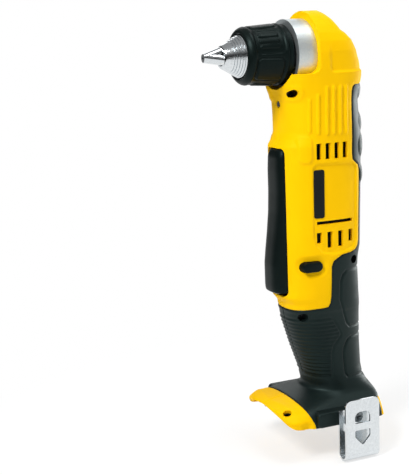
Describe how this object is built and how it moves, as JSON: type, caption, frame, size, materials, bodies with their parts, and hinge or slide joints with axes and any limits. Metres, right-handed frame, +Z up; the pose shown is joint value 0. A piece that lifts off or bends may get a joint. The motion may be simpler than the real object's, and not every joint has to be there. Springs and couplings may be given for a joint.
{
  "type": "cordless right angle drill",
  "caption": "Cordless right angle drill with a keyless chuck square to a slim grip body, a long lever trigger, a slide-on battery foot and a steel belt hook.",
  "frame": {"origin": "on the body axis at the underside of the foot, where the battery slides on", "axes": "+Z up the body towards the head, -X the way the chuck points, -Y the side that carries the belt hook"},
  "size_m": [0.1148, 0.0869, 0.3035],
  "materials": {
    "yellow_plastic": "fine moulded texture",
    "grip_rubber": "matt, ribbed",
    "cast_aluminium": "shot blasted",
    "bearing_steel": "ground",
    "gear_steel": "machined",
    "motor_steel": "rolled",
    "ferrite": "sintered",
    "moulded_nylon": "moulded",
    "carbon": "pressed carbon",
    "switch_plastic": "moulded",
    "spring_steel": "drawn",
    "clear_lens": "clear",
    "brass": "turned",
    "wire_insulation": "extruded",
    "plated_steel": "bright plated",
    "black_plastic": "moulded"
  },
  "bodies": {
    "tool": {"left_housing": "yellow_plastic", "right_housing": "yellow_plastic", "left_grip": "grip_rubber", "right_grip": "grip_rubber", "gear_case": "cast_aluminium", "front_bearing": "bearing_steel", "rear_bearing": "bearing_steel", "pinion_bearing": "bearing_steel", "ring_gear": "gear_steel", "motor_plate": "gear_steel", "motor_can": "motor_steel", "motor_magnets": "ferrite", "motor_end_cap": "moulded_nylon", "motor_brushes": "carbon", "switch_body": "switch_plastic", "plunger_spring": "spring_steel", "trigger_pin": "spring_steel", "lamp": "moulded_nylon", "lamp_lens": "clear_lens", "terminal_block": "moulded_nylon", "terminal_blades": "brass", "battery_leads": "wire_insulation", "motor_leads": "wire_insulation", "hook_inserts": "brass", "belt_hook": "plated_steel", "hook_screw": "spring_steel", "housing_screws": "spring_steel"},
    "chuck": {"spindle": "gear_steel", "bevel_gear": "gear_steel", "chuck_body": "plated_steel", "chuck_ring": "black_plastic", "chuck_screw": "spring_steel"},
    "sleeve": {"chuck_sleeve": "black_plastic", "chuck_nut": "gear_steel"},
    "top_jaw": {"jaw_top": "plated_steel"},
    "near_jaw": {"jaw_near": "plated_steel"},
    "far_jaw": {"jaw_far": "plated_steel"},
    "carrier": {"bevel_pinion": "gear_steel", "planet_carrier": "gear_steel"},
    "front_planet": {"planet_front": "gear_steel"},
    "near_planet": {"planet_near": "gear_steel"},
    "far_planet": {"planet_far": "gear_steel"},
    "rotor": {"rotor_shaft": "gear_steel", "sun_gear": "gear_steel", "armature": "motor_steel", "commutator": "brass", "motor_fan": "moulded_nylon"},
    "lever": {"trigger": "black_plastic"},
    "plunger": {"switch_plunger": "moulded_nylon"},
    "direction": {"direction_button": "black_plastic"}
  },
  "joints": [
    {"name": "chuck_spin", "type": "hinge", "parent": "tool", "child": "chuck", "pos_m": [-0.03, 0, 0.252], "axis": [1, 0, 0], "continuous": true},
    {"name": "sleeve_turn", "type": "hinge", "parent": "chuck", "child": "sleeve", "pos_m": [-0.044, 0, 0.252], "axis": [1, 0, 0], "range_deg": [0, 2160]},
    {"name": "top_jaw_slide", "type": "slide", "parent": "chuck", "child": "top_jaw", "axis": [0.9511, 0, 0.309], "range_m": [0, 0.0139]},
    {"name": "near_jaw_slide", "type": "slide", "parent": "chuck", "child": "near_jaw", "axis": [0.9511, -0.2676, -0.1545], "range_m": [0, 0.0139]},
    {"name": "far_jaw_slide", "type": "slide", "parent": "chuck", "child": "far_jaw", "axis": [0.9511, 0.2676, -0.1545], "range_m": [0, 0.0139]},
    {"name": "pinion_spin", "type": "hinge", "parent": "tool", "child": "carrier", "pos_m": [0, 0, 0.23], "axis": [0, 0, 1], "continuous": true},
    {"name": "front_planet_spin", "type": "hinge", "parent": "carrier", "child": "front_planet", "pos_m": [-0.0105, 0, 0.216], "axis": [0, 0, 1], "continuous": true},
    {"name": "near_planet_spin", "type": "hinge", "parent": "carrier", "child": "near_planet", "pos_m": [0.00525, -0.00909, 0.216], "axis": [0, 0, 1], "continuous": true},
    {"name": "far_planet_spin", "type": "hinge", "parent": "carrier", "child": "far_planet", "pos_m": [0.00525, 0.00909, 0.216], "axis": [0, 0, 1], "continuous": true},
    {"name": "rotor_spin", "type": "hinge", "parent": "tool", "child": "rotor", "pos_m": [0, 0, 0.18], "axis": [0, 0, 1], "continuous": true},
    {"name": "trigger_pull", "type": "hinge", "parent": "tool", "child": "lever", "pos_m": [-0.0228, 0, 0.18598], "axis": [0, -1, 0], "range_deg": [0, 5], "stiffness_Nm_per_rad": 4, "springref_deg": -2.86},
    {"name": "plunger_slide", "type": "slide", "parent": "tool", "child": "plunger", "axis": [1, 0, 0], "range_m": [0, 0.0079], "deforming": ["plunger_spring"]},
    {"name": "direction_slide", "type": "slide", "parent": "tool", "child": "direction", "axis": [0, 1, 0], "range_m": [-0.0025, 0.0025]}
  ],
  "couplings": [
    {"joint": "top_jaw_slide", "follows": "sleeve_turn", "m_per_rad": 0.00036871},
    {"joint": "near_jaw_slide", "follows": "sleeve_turn", "m_per_rad": 0.00036871},
    {"joint": "far_jaw_slide", "follows": "sleeve_turn", "m_per_rad": 0.00036871},
    {"joint": "pinion_spin", "follows": "chuck_spin", "ratio": -2},
    {"joint": "front_planet_spin", "follows": "chuck_spin", "ratio": 5.3333},
    {"joint": "near_planet_spin", "follows": "chuck_spin", "ratio": 5.3333},
    {"joint": "far_planet_spin", "follows": "chuck_spin", "ratio": 5.3333},
    {"joint": "rotor_spin", "follows": "chuck_spin", "ratio": -10},
    {"joint": "plunger_slide", "follows": "trigger_pull", "m_per_rad": 0.090585}
  ]
}
